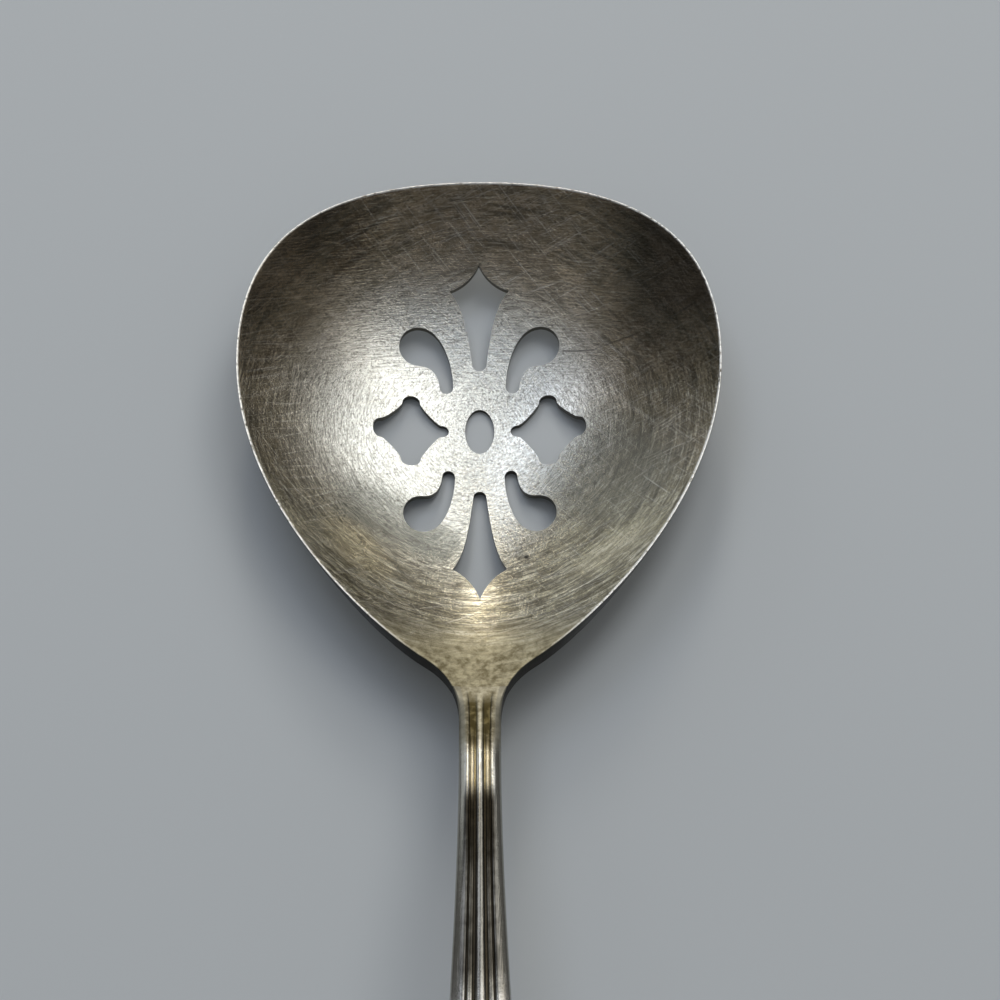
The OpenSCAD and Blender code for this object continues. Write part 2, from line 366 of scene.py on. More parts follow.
def comma():
    # A round head and a tail that bends towards the oval.
    r = 2
    tail = Vector((2.65, 4.95))
    tail_end = tail + Vector((1.4, 0))
    tail_pull = Vector((0, -1))
    middle = Vector((6.15, 11.1 - r))
    top = middle + Vector((0, r))
    outside = middle + Vector((r, 0))
    bottom = middle - Vector((0, r))
    across = Vector((QUARTER * r, 0))
    along = Vector((0, QUARTER * r))
    return (
        stretch(tail, tail + Vector((0.1, 2.9)), top - 2 * across, top, HOLE_STEPS)
        + stretch(top, top + across, outside + along, outside, HOLE_STEPS)
        + stretch(outside, outside - along, bottom + across, bottom, HOLE_STEPS)
        + stretch(bottom, bottom - across, tail_end + Vector((0.25, 1.6)), tail_end, HOLE_STEPS)
        + stretch(tail_end, tail_end + tail_pull, tail + tail_pull, tail, HOLE_STEPS)
    )


right_foil = [p + Vector((foil_x, 0)) for p in foil(foil_reach)]
upper_comma = comma()
# The lower commas are a little narrower and longer.
lower_comma = [Vector((0.93 * p.x, -1.07 * p.y)) for p in reversed(upper_comma)]
holes = [oval(), upper_dart, lower_dart]
for hole in (right_foil, upper_comma, lower_comma):
    holes += [hole, mirrored(hole)]
print("holes:", len(holes), "with", sum(len(hole) for hole in holes), "corners")

# %% [markdown]
# On the real spoon a press punches the holes out, so here too each hole has a punch: its outline is
# laid out on a flat circle, filled and extruded. A punch starts below the table and ends above the rim,
# so that none of its faces lies in a face of the dish. All nine are joined, and one exact Boolean cut
# takes them out of the dish with clean, upright walls.

# %% Punch the holes
OVER = 1  # mm by which a punch is longer at its lower end


def punch(number, hole):
    bpy.ops.object.select_all(action="DESELECT")
    bpy.ops.mesh.primitive_circle_add(vertices=len(hole), radius=MM, fill_type="NGON")
    tool = bpy.context.object
    tool.name = f"punch_{number}"
    for corner, spot in zip(tool.data.vertices, hole):
        corner.co = place(spot.x, base_y + spot.y, -OVER)
    bpy.ops.object.mode_set(mode="EDIT")
    bpy.ops.mesh.select_all(action="SELECT")
    lift = (0, 0, (bowl_depth + 3 * OVER) * MM)
    bpy.ops.mesh.extrude_region_move(TRANSFORM_OT_translate={"value": lift})
    bpy.ops.mesh.select_all(action="SELECT")
    bpy.ops.mesh.normals_make_consistent(inside=False)
    bpy.ops.object.mode_set(mode="OBJECT")
    return tool


punches = [punch(number, hole) for number, hole in enumerate(holes)]
bpy.ops.object.select_all(action="DESELECT")
for tool in punches:
    tool.select_set(True)
bpy.context.view_layer.objects.active = punches[0]
bpy.ops.object.join()
bpy.context.view_layer.objects.active = bowl
cut = bowl.modifiers.new("piercing", "BOOLEAN")
cut.object = punches[0]
cut.operation = "DIFFERENCE"
cut.solver = "EXACT"
bpy.ops.object.modifier_apply(modifier=cut.name)
bpy.data.objects.remove(punches[0])
print("bowl pierced:", len(bowl.data.polygons), "faces")

# %% [markdown]
# ## The handle
# The handle rises out of the dish, goes over a long arch and comes down to the table at its rounded
# tip. Five reeds run along its face with dark grooves between them, and its flanks slope away
# to the sides. A curve with a bevel shape couldn't fade the reeds in and out, so the handle is
# extruded from the joint in short steps, and each step gets a section of its own. First comes the line
# that the steps follow: how far each station is from the joint, and how high its face and back are.

# %% The handle's line
groove_d = 0.12  # depth of the grooves
reed_top = (1.15, 0.7, 1)  # height of the middle, inner and outer reeds, as shares of that depth
joint_z = inside_z(Vector((0, 0)), base_y)
joint_cup = inside_z(joint_corner, (joint_corner - dish_mid).length) - joint_z
step = 0.1  # mm, over which the slope of the dish is measured at the joint
face_slope = (joint_z - inside_z(Vector((0, 0)), base_y - step)) / step
back_slope = (back_power * (joint_z - edge_h) - thicken_power * (joint_t - edge_h)) / (base_y - base_r)
arch_y = 34  # the top of the arch, from the joint
arch_z = handle_top - (max(reed_top) - 1) * groove_d
neck_t = 2.5  # thickness at the arch
tip_t = 1.8  # and at the tip
tip_slope = 0.38  # mm of fall per mm at the tip
arm_l = handle_l - arch_y
joint_at = Vector((0, joint_z, joint_z - joint_t))
arch_at = Vector((arch_y, arch_z, arch_z - neck_t))
tip_at = Vector((handle_l, tip_t, 0))
level = Vector((1, 0, 0))
NECK_STATIONS = 80
ARM_STATIONS = 60

rise_pull = joint_at + 0.12 * arch_y * Vector((1, face_slope, back_slope))
arch_pull = arch_at - 0.45 * arch_y * level
arm_pull = arch_at + 0.35 * arm_l * level
tip_pull = tip_at - 0.35 * arm_l * Vector((1, -tip_slope, -tip_slope))
rise = stretch(joint_at, rise_pull, arch_pull, arch_at, NECK_STATIONS)


def on_arm(t):
    start = (1 - t) ** 3 * arch_at + 3 * (1 - t) ** 2 * t * arm_pull
    return start + 3 * (1 - t) * t ** 2 * tip_pull + t ** 3 * tip_at


# The stations of the arm get closer towards the rounded tip.
arm = [on_arm(math.sin(math.pi / 2 * i / ARM_STATIONS)) for i in range(ARM_STATIONS + 1)]
spine = rise + arm
print("handle stations:", len(spine))

# %% [markdown]
# The handle is narrowest just behind the bowl's flare, and from there it widens slowly to its tip. A
# few curves drawn by eye would do, but with a formula the width is known at any station, also between
# two of them.

# %% The handle's width
neck_half = 1.95  # half the width at the narrowest place
tip_half = 5.3  # and before the rounded tip
tip_round = 9  # length of the rounded tip
tip_y = handle_l - tip_round
widen_y = 9  # where it begins to widen
flare_l = 4.6  # the bowl's flare runs out over this length
widen_power = 1.75  # how late it widens
tip_power = 2.4  # 2 is a round tip, more is a squarer one
TIP_SHARE = 0.995  # the last section stops short of a point


def flare(y):
    return max(0, 1 - y / flare_l)


def half_at(y):
    hollow = (joint_half - neck_half) * flare(y) ** 3
    widen = (tip_half - neck_half) * min(1, max(0, (y - widen_y) / (tip_y - widen_y))) ** widen_power
    end = TIP_SHARE * min(1, max(0, (y - tip_y) / tip_round))
    return (neck_half + hollow + widen) * (1 - end ** tip_power) ** (1 / tip_power)


print(f"handle {2 * half_at(widen_y):.1f} mm wide at the neck, {2 * half_at(arch_y):.1f} mm at the arch")

# %% [markdown]
# A section starts at the left edge, goes over the face with its five reeds to the right edge, and comes
# back along the rounded back. The reeds could be five rods laid side by side, but a rolled or struck
# handle has them in one skin, so they are bumps in the section. Places across are given as shares of
# half the width, from 0 at the middle to 1 at the edge.

# %% Reeds and sections
reed_at = (0, 0.36, 0.6)  # middle, inner and outer reed
reed_half = (0.19, 0.1, 0.11)  # half their widths
reed_crown = (2.5, 6, 6)  # 2 is a round top, more is a flatter one
inner_y, inner_l = 4, 3  # where the inner reeds begin, and the length over which they come up
reeds_in, reeds_out = 3, 6  # lengths over which all reeds come up at the joint and run out at the tip
reeds_left = 0.1  # what is left of them at the tip
flank_drop = 0.35  # how far the flanks fall towards the edge
flank_power = 1.5
FACE_STEPS = 100
BACK_STEPS = 24
face_us = [2 * i / FACE_STEPS - 1 for i in range(FACE_STEPS + 1)]
back_us = [1 - 2 * i / BACK_STEPS for i in range(BACK_STEPS + 1)]


def reed(u, y):
    tops = (reed_top[0], reed_top[1] * smooth((y - inner_y) / inner_l), reed_top[2])
    shapes = zip(reed_at, reed_half, reed_crown, tops)
    return max(top * max(0, 1 - abs((u - at) / half) ** crown) for at, half, crown, top in shapes)


def face_drop(u, y):
    if u < reed_at[-1]:
        return groove_d * (1 - reed(u, y))
    return flank_drop * ((u - reed_at[-1]) / (1 - reed_at[-1])) ** flank_power


def reed_share(y):
    return smooth(y / reeds_in) * mix(reeds_left, 1, smooth((tip_y + tip_round / 3 - y) / reeds_out))


def rounding(x, half):
    over = max(0, 1 - (half - abs(x)) / min(RIM_ROUND, half))
    return RIM_ROUND * (1 - math.sqrt(max(0, 1 - over ** 2)))


def section(station):
    y, face, back = station
    half = half_at(y)
    share = reed_share(y)
    cup = joint_cup * flare(y) ** 2
    corners = []
    for u in face_us:
        z = face + cup * u * u - share * face_drop(abs(u), y) - rounding(u * half, half)
        corners.append(place(u * half, -y, z))
    for u in back_us:
        z = cup * u * u + mix(face, back, belly(u)) + rounding(u * half, half)
        corners.append(place(u * half, -y, z))
    return corners


handle = loft("reeded_handle", [section(station) for station in spine])

# %% [markdown]
# The grooves keep the dark tarnish that polishing can't reach. It could be painted on by hand, but how
# deep a point lies between the reeds, and how far out it is across the handle, is known from the
# section. So both are stored on the mesh as attributes, which the finish reads later.

# %% Store the grooves and the place across
FACE_SHARE = 0.45  # of the thickness, from the face down, that counts as the face
LEAST_HALF = 0.01  # mm
bpy.context.view_layer.objects.active = handle
groove_values = []
across_values = []
for corner in handle.data.vertices:
    x, y, z = (corner.co - JOINT) / MM
    station = min(spine, key=lambda s: abs(s.x + y))
    u = min(1, abs(x) / max(half_at(station.x), LEAST_HALF))
    reeded = u < reed_at[-1] and z > mix(station.y, station.z, FACE_SHARE)
    groove_values.append(reed_share(station.x) * (1 - min(1, reed(u, station.x))) if reeded else 0)
    across_values.append(u)
for name, values in (("groove", groove_values), ("across", across_values)):
    bpy.ops.geometry.attribute_add(name=name, domain="POINT", data_type="FLOAT")
    handle.data.attributes[name].data.foreach_set("value", values)
    print(name, "attribute: mean", round(sum(values) / len(values), 3))

# %% [markdown]
# Polished metal shows every facet, so the faces of each piece are shaded as one smooth skin. A far finer
# mesh would do the same at a high price. Where two faces meet at a clear angle, as at the walls of the
# holes, the edge stays crisp.

# %% Smooth shading
CRISP = 35  # degrees between two faces, from which their edge stays crisp
for piece in (bowl, handle):
    bpy.ops.object.select_all(action="DESELECT")
    piece.select_set(True)
    bpy.context.view_layer.objects.active = piece
    bpy.ops.object.shade_smooth_by_angle(angle=math.radians(CRISP))
    piece.data.calc_loop_triangles()
    print(piece.name, len(piece.data.loop_triangles), "triangles")

# %% [markdown]
# ## Finishes
# Each finish is a small network of nodes, built up like a painting: a bright ground, and then one layer
# after another. One function adds a node, sets its values and joins its inputs, so a network reads from
# top to bottom like a recipe. Colours are written as the hex values that a colour picker shows, and
# another function turns them into the linear values that Blender works with.

# %% Helpers for the finishes
SILVER_HEX = "#dcdedb"


def colour(code):
    parts = [int(code[i:i + 2], 16) / 255 for i in (1, 3, 5)]
    return [p / 12.92 if p <= 0.04045 else ((p + 0.055) / 1.055) ** 2.4 for p in parts] + [1]


def node(tree, kind, settings=None, **inputs):
    made = tree.nodes.new("ShaderNode" + kind)
    for name, value in (settings or {}).items():
        setattr(made, name, value)
    for name, value in inputs.items():
        # An input is named as in Blender, with _ for a space, or numbered, as _0.
        socket = made.inputs[int(name[1:])] if name[1:].isdigit() else made.inputs[name.replace("_", " ")]
        if isinstance(value, bpy.types.NodeSocket):
            tree.links.new(value, socket)
        else:
            socket.default_value = value
    return made.outputs


def new_finish(name):
    finish = bpy.data.materials.new(name)
    finish.use_nodes = True
    finish.node_tree.nodes.clear()
    return finish, finish.node_tree


print("silver:", [round(v, 3) for v in colour(SILVER_HEX)])

# %% [markdown]
# A layer lays one colour over the tone below it, as strongly as its shares allow. The shares come from
# heights and distances, and from three patterns with sizes in millimetres: soft clouds, hair scratches
# and single marks. Walls that stand upright are a share of their own. A picture painted by hand could
# carry all of it, but these stay sharp at any distance and follow the shape by themselves.

# %% Layers
SOFT = {"interpolation_type": "SMOOTHSTEP"}
TIMES = {"operation": "MULTIPLY"}


def millimetres(tree, middle):
    spot = node(tree, "TexCoord")["Object"]
    return node(tree, "Mapping", Vector=spot, Location=-middle / MM, Scale=(1 / MM, 1 / MM, 1 / MM))[0]


def layer(tree, under, code, strength, *shares):
    for share in shares:
        strength = node(tree, "Math", TIMES, _0=strength, _1=share)[0]
    return node(tree, "Mix", {"data_type": "RGBA"}, _0=strength, _6=under, _7=colour(code))[2]


def upright(tree):
    # How upright a wall stands: its normal has no height where the wall is sheer.
    lean = node(tree, "SeparateXYZ", Vector=node(tree, "NewGeometry")["Normal"])["Z"]
    lean = node(tree, "Math", {"operation": "ABSOLUTE"}, _0=lean)[0]
    return node(tree, "MapRange", SOFT, Value=lean, From_Min=0.45, From_Max=0.15)[0]


print("layer helpers:", [helper.__name__ for helper in (millimetres, layer, upright)])

# %% [markdown]
# Clouds are plain noise. Hair scratches are noise as well, stretched long and thin and turned, once for
# each direction, and a mark is an ellipse round one spot. Scale and rotation could be turned round by
# hand for each, but a Mapping node of the Texture type takes sizes and angles as they are meant.

# %% Patterns
LARGER = {"operation": "MAXIMUM"}
STRETCHED = {"vector_type": "TEXTURE"}
SAME_UP = 4  # mm of height over which a hair line stays the same
ANY_HEIGHT = 1000  # mm, so that the height doesn't count in a mark


def cloud(tree, where, size, detail, low, high):
    # Soft blotches about "size" millimetres across, as a share from 0 to 1.
    noise = node(tree, "TexNoise", Vector=where, Scale=1 / size, Detail=detail, Roughness=0.6)[0]
    return node(tree, "MapRange", Value=noise, From_Min=low, From_Max=high)[0]


def scratches(tree, where, angles, length, spacing, low, high):
    # Hair lines in several directions: noise stretched to "length" one way and "spacing" the other.
    share = 0.0
    for angle in angles:
        turn = (0, 0, math.radians(angle))
        size = (length, spacing, SAME_UP)
        lines = node(tree, "Mapping", STRETCHED, Vector=where, Rotation=turn, Scale=size)[0]
        noise = node(tree, "TexNoise", Vector=lines, Scale=1.0, Detail=2.0, Roughness=0.5)[0]
        found = node(tree, "MapRange", Value=noise, From_Min=low, From_Max=high)[0]
        share = node(tree, "Math", LARGER, _0=share, _1=found)[0]
    return share


def mark(tree, where, spot, half_size, angle):
    # One stain, pit or stroke: an ellipse with a soft edge.
    spot = (*spot, 0)
    turn = (0, 0, math.radians(angle))
    size = (*half_size, ANY_HEIGHT)
    local = node(tree, "Mapping", STRETCHED, Vector=where, Location=spot, Rotation=turn, Scale=size)[0]
    far = node(tree, "VectorMath", {"operation": "LENGTH"}, _0=local)["Value"]
    return node(tree, "MapRange", Value=far, From_Min=1.0, From_Max=0.5)[0]


print("pattern helpers:", [helper.__name__ for helper in (cloud, scratches, mark)])

# %% [markdown]
# The two pieces meet at the neck, which has gone a mottled khaki, and the joint shouldn't show. Two
# finishes matched by eye would leave a line there. So both take the neck from one function, with its
# pattern measured from the joint, and it runs on from one piece to the other.

# %% Khaki of the neck
NECK_HEX = "#b8b094"
MOTTLE_HEX = "#625940"
MOTTLE = 0.8  # mm across


def khaki_neck(tree, tone, neck):
    mottle = cloud(tree, millimetres(tree, JOINT), MOTTLE, 5, 0.4, 0.66)
    tone = layer(tree, tone, NECK_HEX, 0.7, neck)
    return layer(tree, tone, MOTTLE_HEX, 0.85, neck, mottle)


print("neck:", [round(v, 3) for v in colour(NECK_HEX)])

# %% [markdown]
# ### The bowl's worn silver plate
# Silver plate is a thin skin of silver on a tougher metal, polished until it mirrors. Use has rubbed
# the middle of the bowl to a white satin full of hair scratches, and tarnish has built up where nothing
# rubs: brown to nearly black on the upper walls, olive and khaki on the lower ones. Heights and
# distances here are in millimetres from the middle of the piercing.

# %% Where the tarnish lies
BLOTCH, PATCH = 7, 2.4  # mm, clouds of tarnish and the patches in them
SPECK = 0.22  # mm; real pits are finer than 0.1 mm and wouldn't show
RUB_LEAN = 0.08  # mm of height per mm across
bowl_finish, tree = new_finish("worn silver plate")
where = millimetres(tree, place(0, base_y, 0))
x, y, z = node(tree, "SeparateXYZ", Vector=where)
aside = node(tree, "Math", {"operation": "ABSOLUTE"}, _0=x)[0]
# Rubbing was strongest a little to the left of the middle.
unrubbed = node(tree, "Math", {"operation": "MULTIPLY_ADD"}, _0=x, _1=RUB_LEAN, _2=z)[0]
wall = node(tree, "MapRange", SOFT, Value=unrubbed, From_Min=1.0, From_Max=5.4)[0]
lower = node(tree, "MapRange", SOFT, Value=y, From_Min=-4, From_Max=-14)[0]
upper = node(tree, "MapRange", SOFT, Value=y, From_Min=-3, From_Max=13)[0]
outer = node(tree, "MapRange", SOFT, Value=aside, From_Min=7, From_Max=18)[0]
neck = node(tree, "MapRange", SOFT, Value=y, From_Min=-22, From_Max=-27.5)[0]
blotch = cloud(tree, where, BLOTCH, 3, 0.3, 0.7)
patch = cloud(tree, where, PATCH, 4, 0.38, 0.66)
speck = cloud(tree, where, SPECK, 2, 0.56, 0.7)
# Brown and olive on all walls, khaki on the lower ones, warm grey on the upper ones, and dark patches.
tone = layer(tree, colour(SILVER_HEX), "#7e705a", 0.9, wall)
tone = layer(tree, tone, "#82795f", 0.7, wall, blotch)
tone = layer(tree, tone, "#b6b097", 0.85, wall, lower)
tone = layer(tree, tone, "#b3a187", 0.7, wall, upper)
tone = layer(tree, tone, "#585246", 0.55, wall, patch)
print("tarnish:", len(tree.nodes), "nodes")

# %% [markdown]
# Rubbing went round the lower bowl in arcs, and nearly level across the upper one. Scratches drawn one
# by one would run into thousands. Here the arcs are noise laid out by distance from the middle and by
# direction, the level strokes are noise stretched along a slightly bowed line, and one fades into the
# other. Real strokes lie closer than 0.05 mm and wouldn't show, so these are drawn coarser.

# %% Rubbed arcs and strokes
STROKE_GAP, STROKE_L = 0.18, 1.6  # mm
ARC_CELLS = 11  # strokes per radian, each about 1.4 mm long at 15 mm from the middle
BOW = 0.008  # the level strokes rise by 1.8 mm at 15 mm to the side
flat = node(tree, "CombineXYZ", X=x, Y=y)[0]
ring = node(tree, "VectorMath", {"operation": "LENGTH"}, _0=flat)["Value"]
turning = node(tree, "VectorMath", {"operation": "NORMALIZE"}, _0=flat)[0]
round_it = node(tree, "VectorMath", {"operation": "SCALE"}, _0=turning, Scale=ARC_CELLS)[0]
outward = node(tree, "Math", TIMES, _0=ring, _1=1 / STROKE_GAP)[0]
outward = node(tree, "CombineXYZ", Z=outward)[0]
arc_place = node(tree, "VectorMath", {"operation": "ADD"}, _0=round_it, _1=outward)[0]
bowed = node(tree, "Math", TIMES, _0=x, _1=x)[0]
bowed = node(tree, "Math", {"operation": "MULTIPLY_ADD"}, _0=bowed, _1=BOW, _2=y)[0]
bow_place = node(tree, "CombineXYZ", X=x, Y=bowed)[0]
bow_place = node(tree, "Mapping", STRETCHED, Vector=bow_place, Scale=(STROKE_L, STROKE_GAP, 1))[0]
arc_noise = node(tree, "TexNoise", Vector=arc_place, Scale=1.0, Detail=3.0, Roughness=0.65)[0]
bow_noise = node(tree, "TexNoise", Vector=bow_place, Scale=1.0, Detail=3.0, Roughness=0.65)[0]
level_share = node(tree, "MapRange", SOFT, Value=y, From_Min=2, From_Max=9)[0]
rub = node(tree, "MapRange", Value=level_share, To_Min=arc_noise, To_Max=bow_noise)[0]
gaps = node(tree, "MapRange", Value=rub, From_Min=0.56, From_Max=0.36)[0]
ridges = node(tree, "MapRange", Value=rub, From_Min=0.53, From_Max=0.68)[0]
print("strokes:", len(tree.nodes), "nodes")

# %% [markdown]
# On top of the strokes lie hair scratches in all directions, a short hatch and a few long hairs. Broad
# bands of the same arcs, dark on the walls and light at the heel, keep the strokes from looking even.
# Real hairs are about 0.02 mm wide and wouldn't show, so they too are drawn coarser.

# %% Hairs and bands
HAIR = 0.09  # mm
HATCH_L, HAIR_L = 1.8, 7  # mm
HAIR_HEX = "#dedbd4"
BAND_SHARE = 0.3  # bands are about three strokes wide
hatch = scratches(tree, where, (12, 48, 82, -35, -64), HATCH_L, HAIR, 0.57, 0.7)
long_hairs = scratches(tree, where, (16, 27, -50), HAIR_L, HAIR, 0.62, 0.7)
heel = node(tree, "MapRange", SOFT, Value=y, From_Min=-13, From_Max=-17)[0]
broad = node(tree, "TexNoise", Vector=arc_place, Scale=BAND_SHARE, Detail=3.0, Roughness=0.6)[0]
dark_band = node(tree, "MapRange", Value=broad, From_Min=0.5, From_Max=0.68)[0]
light_band = node(tree, "MapRange", Value=broad, From_Min=0.48, From_Max=0.32)[0]
tone = layer(tree, tone, "#4a4335", 0.8, dark_band, wall)
tone = layer(tree, tone, "#dedacd", 0.6, light_band, heel)
tone = layer(tree, tone, "#565044", 0.45, gaps)
tone = layer(tree, tone, "#3f3829", 0.5, gaps, heel)
tone = layer(tree, tone, "#bab5a6", 0.6, ridges, wall)
tone = layer(tree, tone, HAIR_HEX, 0.14, hatch)
tone = layer(tree, tone, HAIR_HEX, 0.4, long_hairs)
tone = layer(tree, tone, "#4d473d", 0.7, speck)
# The upper corners are nearly black.
tone = layer(tree, tone, "#25211b", 0.8, outer, upper)
print("with hairs:", len(tree.nodes), "nodes")

# %% [markdown]
# Next come the neck, a few stains, deep strokes and a pit. Noise would put them anywhere, so each is a
# mark with a place of its own.

# %% Neck, stains and deep strokes
GREY_STAIN, SCAR_HEX = "#6c6e68", "#2c2823"
tone = khaki_neck(tree, tone, neck)
# Place and half size in millimetres, angle in degrees, colour and strength.
marks = [
    ((12, -5.5), (9.5, 8.5), 0, GREY_STAIN, 0.45),
    ((-9.5, -10), (6.5, 4), -30, GREY_STAIN, 0.5),
    ((-4.5, -13), (3.8, 3), -20, GREY_STAIN, 0.6),
    ((-11.8, -14.8), (5, 2.6), -48, "#c9bd9c", 0.4),
    ((12.2, -15.8), (5.5, 1.8), 31, "#c9c1a8", 0.35),
    ((9.9, 8.3), (2.4, 0.15), -4, SCAR_HEX, 0.5),
    ((14.4, 8.9), (2.9, 0.12), 12, SCAR_HEX, 0.5),
    ((20.9, 10.9), (1.5, 0.14), 20, SCAR_HEX, 0.5),
    ((4.54, -14.9), (0.3, 0.26), 0, SCAR_HEX, 0.9),
]
for spot, half_size, angle, code, strength in marks:
    tone = layer(tree, tone, code, strength, mark(tree, where, spot, half_size, angle))
print("marks:", len(marks))

# %% [markdown]
# Last come the edges. The top of the rim is polished bright by everything it touches. The upright walls
# get painted shade, over the tarnish of walls that were never rubbed: nearly black round the bowl, and
# a dull grey in the holes. A mirror has a roughness of about 0.05, and worn plate is a satin of 0.2 or
# more, roughest on the neck. A faint bump lets the scratches break up what the metal mirrors.

# %% Edges and metal
SHADED_WALL_HEX = "#14120e"
RIM_Z = (7.62, 7.68)  # mm, the heights between which the top of the rim begins
CHIP = 0.4  # mm, gaps in the bright line
SCRATCH_D = 0.006  # mm deep
top_edge = node(tree, "MapRange", SOFT, Value=z, From_Min=RIM_Z[0], From_Max=RIM_Z[1])[0]
round_bowl = node(tree, "MapRange", Value=neck, To_Min=1.0, To_Max=0.0)[0]
chips = cloud(tree, where, CHIP, 3, 0.32, 0.46)
tone = layer(tree, tone, "#e4e2dd", 1.0, top_edge, round_bowl, chips)
sheer = upright(tree)
pierced = node(tree, "MapRange", SOFT, Value=ring, From_Min=19, From_Max=17)[0]
# Painted shade: the upright walls nearly black, and the walls of the holes a dull grey.
tone = layer(tree, tone, SHADED_WALL_HEX, 0.94, sheer)
tone = layer(tree, tone, "#6a655a", 0.9, sheer, pierced)

roughness = node(tree, "MapRange", Value=wall, To_Min=0.18, To_Max=0.26)[0]
roughness = node(tree, "MapRange", Value=neck, To_Min=roughness, To_Max=0.52)[0]
height = node(tree, "Math", {"operation": "SUBTRACT"}, _0=hatch, _1=gaps)[0]
bump = node(tree, "Bump", Strength=1.0, Distance=SCRATCH_D * MM, Height=height)[0]
shader = node(tree, "BsdfPrincipled", Base_Color=tone, Metallic=1.0, Roughness=roughness, Normal=bump)
node(tree, "OutputMaterial", Surface=shader[0])
bowl.data.materials.append(bowl_finish)
print(bowl_finish.name, len(tree.nodes), "nodes")

# %% [markdown]
# ### The handle's reeded silver plate
# The handle is thicker and less worn. Near the bowl it keeps the mottled khaki of the neck, with olive
# tarnish on its side reeds and gold in its grooves. Further on, a stretch of all reeds is painted darker
# as a painted dark reflection, and its side reeds are streaked with dark brown, partly tarnish and partly
# painted dark reflection, so that only the middle rib and the flanks shine. First come the shares:
# across, from the middle rib at 0 to the edge at 1, and along, in millimetres from the joint, which are
# negative here.

# %% Where the handle is worn
handle_finish, tree = new_finish("reeded silver plate")
where = millimetres(tree, JOINT)
y = node(tree, "SeparateXYZ", Vector=where)["Y"]
groove = node(tree, "Attribute", {"attribute_name": "groove"})["Fac"]
across = node(tree, "Attribute", {"attribute_name": "across"})["Fac"]
deep = node(tree, "MapRange", SOFT, Value=groove, From_Min=0.4, From_Max=0.95)[0]
past_rib = node(tree, "MapRange", SOFT, Value=across, From_Min=0.03, From_Max=0.21)[0]
inner = node(tree, "MapRange", SOFT, Value=across, From_Min=0.5, From_Max=0.44)[0]
before_flank = node(tree, "MapRange", SOFT, Value=across, From_Min=0.85, From_Max=0.5)[0]
flank = node(tree, "MapRange", SOFT, Value=across, From_Min=0.68, From_Max=0.76)[0]
off_flank = node(tree, "MapRange", SOFT, Value=across, From_Min=0.76, From_Max=0.68)[0]
near_bowl = node(tree, "MapRange", SOFT, Value=y, From_Min=-9, From_Max=-0.5)[0]
neck = node(tree, "MapRange", SOFT, Value=y, From_Min=-8.5, From_Max=-4.5)[0]
olive_start = node(tree, "MapRange", SOFT, Value=y, From_Min=0.3, From_Max=-2.8)[0]
olive_end = node(tree, "MapRange", SOFT, Value=y, From_Min=-8.5, From_Max=-6)[0]
# Between these places the reeds are painted darker: a painted dark reflection, with some tarnish on the
# side reeds.
shade_stretch_start = node(tree, "MapRange", SOFT, Value=y, From_Min=-10.5, From_Max=-13)[0]
shade_stretch_end = node(tree, "MapRange", SOFT, Value=y, From_Min=-34, From_Max=-28)[0]
shade_streak_end = node(tree, "MapRange", SOFT, Value=y, From_Min=-23, From_Max=-16)[0]
print("handle shares:", len(tree.nodes), "nodes")

# %% [markdown]
# The layers then go from the bright ground to the darkest streaks, as on the bowl. The scratches run
# mostly along the handle, the way it is wiped, and are as coarse as they need to be to show.

# %% Reeded silver plate
HANDLE_PATCH, STAIN = 1.1, 1.3  # mm across
WIPE_L, WIPE_GAP = 4, 0.12  # mm
WIPE_D = 0.01  # mm deep
patch = cloud(tree, where, HANDLE_PATCH, 4, 0.35, 0.65)
speck = cloud(tree, where, SPECK, 2, 0.56, 0.7)
stain = cloud(tree, where, STAIN, 4, 0.3, 0.52)
wipes = scratches(tree, where, (88, 20), WIPE_L, WIPE_GAP, 0.54, 0.7)
# Bright plate with faint patches, scratches and specks, and the neck.
tone = layer(tree, colour("#cac9c6"), "#a9a8a3", 0.8, patch)
tone = layer(tree, tone, "#dad7cf", 0.3, wipes)
tone = layer(tree, tone, "#4a4238", 0.4, speck)
tone = khaki_neck(tree, tone, neck)
# Gold in the grooves and on the inner reeds, and an olive stain beside the middle rib.
tone = layer(tree, tone, "#6f6440", 0.7, deep, olive_start)
tone = layer(tree, tone, "#7d6f45", 0.55, olive_start, shade_stretch_end, past_rib, inner)
tone = layer(tree, tone, "#362f1a", 0.9, olive_start, olive_end, past_rib, before_flank, stain)
# Grey flanks, then painted dark reflection: a duller stretch of all reeds, and dark streaks on the side
# ones that are partly tarnish.
tone = layer(tree, tone, "#858277", 0.7, flank, shade_stretch_end)
tone = layer(tree, tone, "#5e5c57", 0.8, shade_stretch_start, shade_stretch_end, off_flank)
tone = layer(tree, tone, "#2b271f", 0.5, shade_stretch_start, shade_stretch_end, past_rib, before_flank)
tone = layer(tree, tone, "#1a160f", 0.85, shade_stretch_start, shade_streak_end, past_rib, before_flank)
tone = layer(tree, tone, "#0f0d09", 0.6, shade_stretch_start, shade_stretch_end, past_rib, before_flank, patch)
tone = layer(tree, tone, "#2e2920", 0.85, deep, shade_stretch_start)
# The upright sides near the bowl are painted nearly black: painted shade.
tone = layer(tree, tone, SHADED_WALL_HEX, 0.94, upright(tree), near_bowl)

roughness = node(tree, "MapRange", Value=neck, To_Min=0.22, To_Max=0.52)[0]
bump = node(tree, "Bump", Strength=0.3, Distance=WIPE_D * MM, Height=wipes)[0]
shader = node(tree, "BsdfPrincipled", Base_Color=tone, Metallic=1.0, Roughness=roughness, Normal=bump)
node(tree, "OutputMaterial", Surface=shader[0])
handle.data.materials.append(handle_finish)
print(handle_finish.name, len(tree.nodes), "nodes")

# %% [markdown]
# ## Place both pieces on the frame
# The real spoon is one stiff piece of metal. So bowl and handle both ride on the one body, and each
# takes the place of its plain solid, which is hidden.

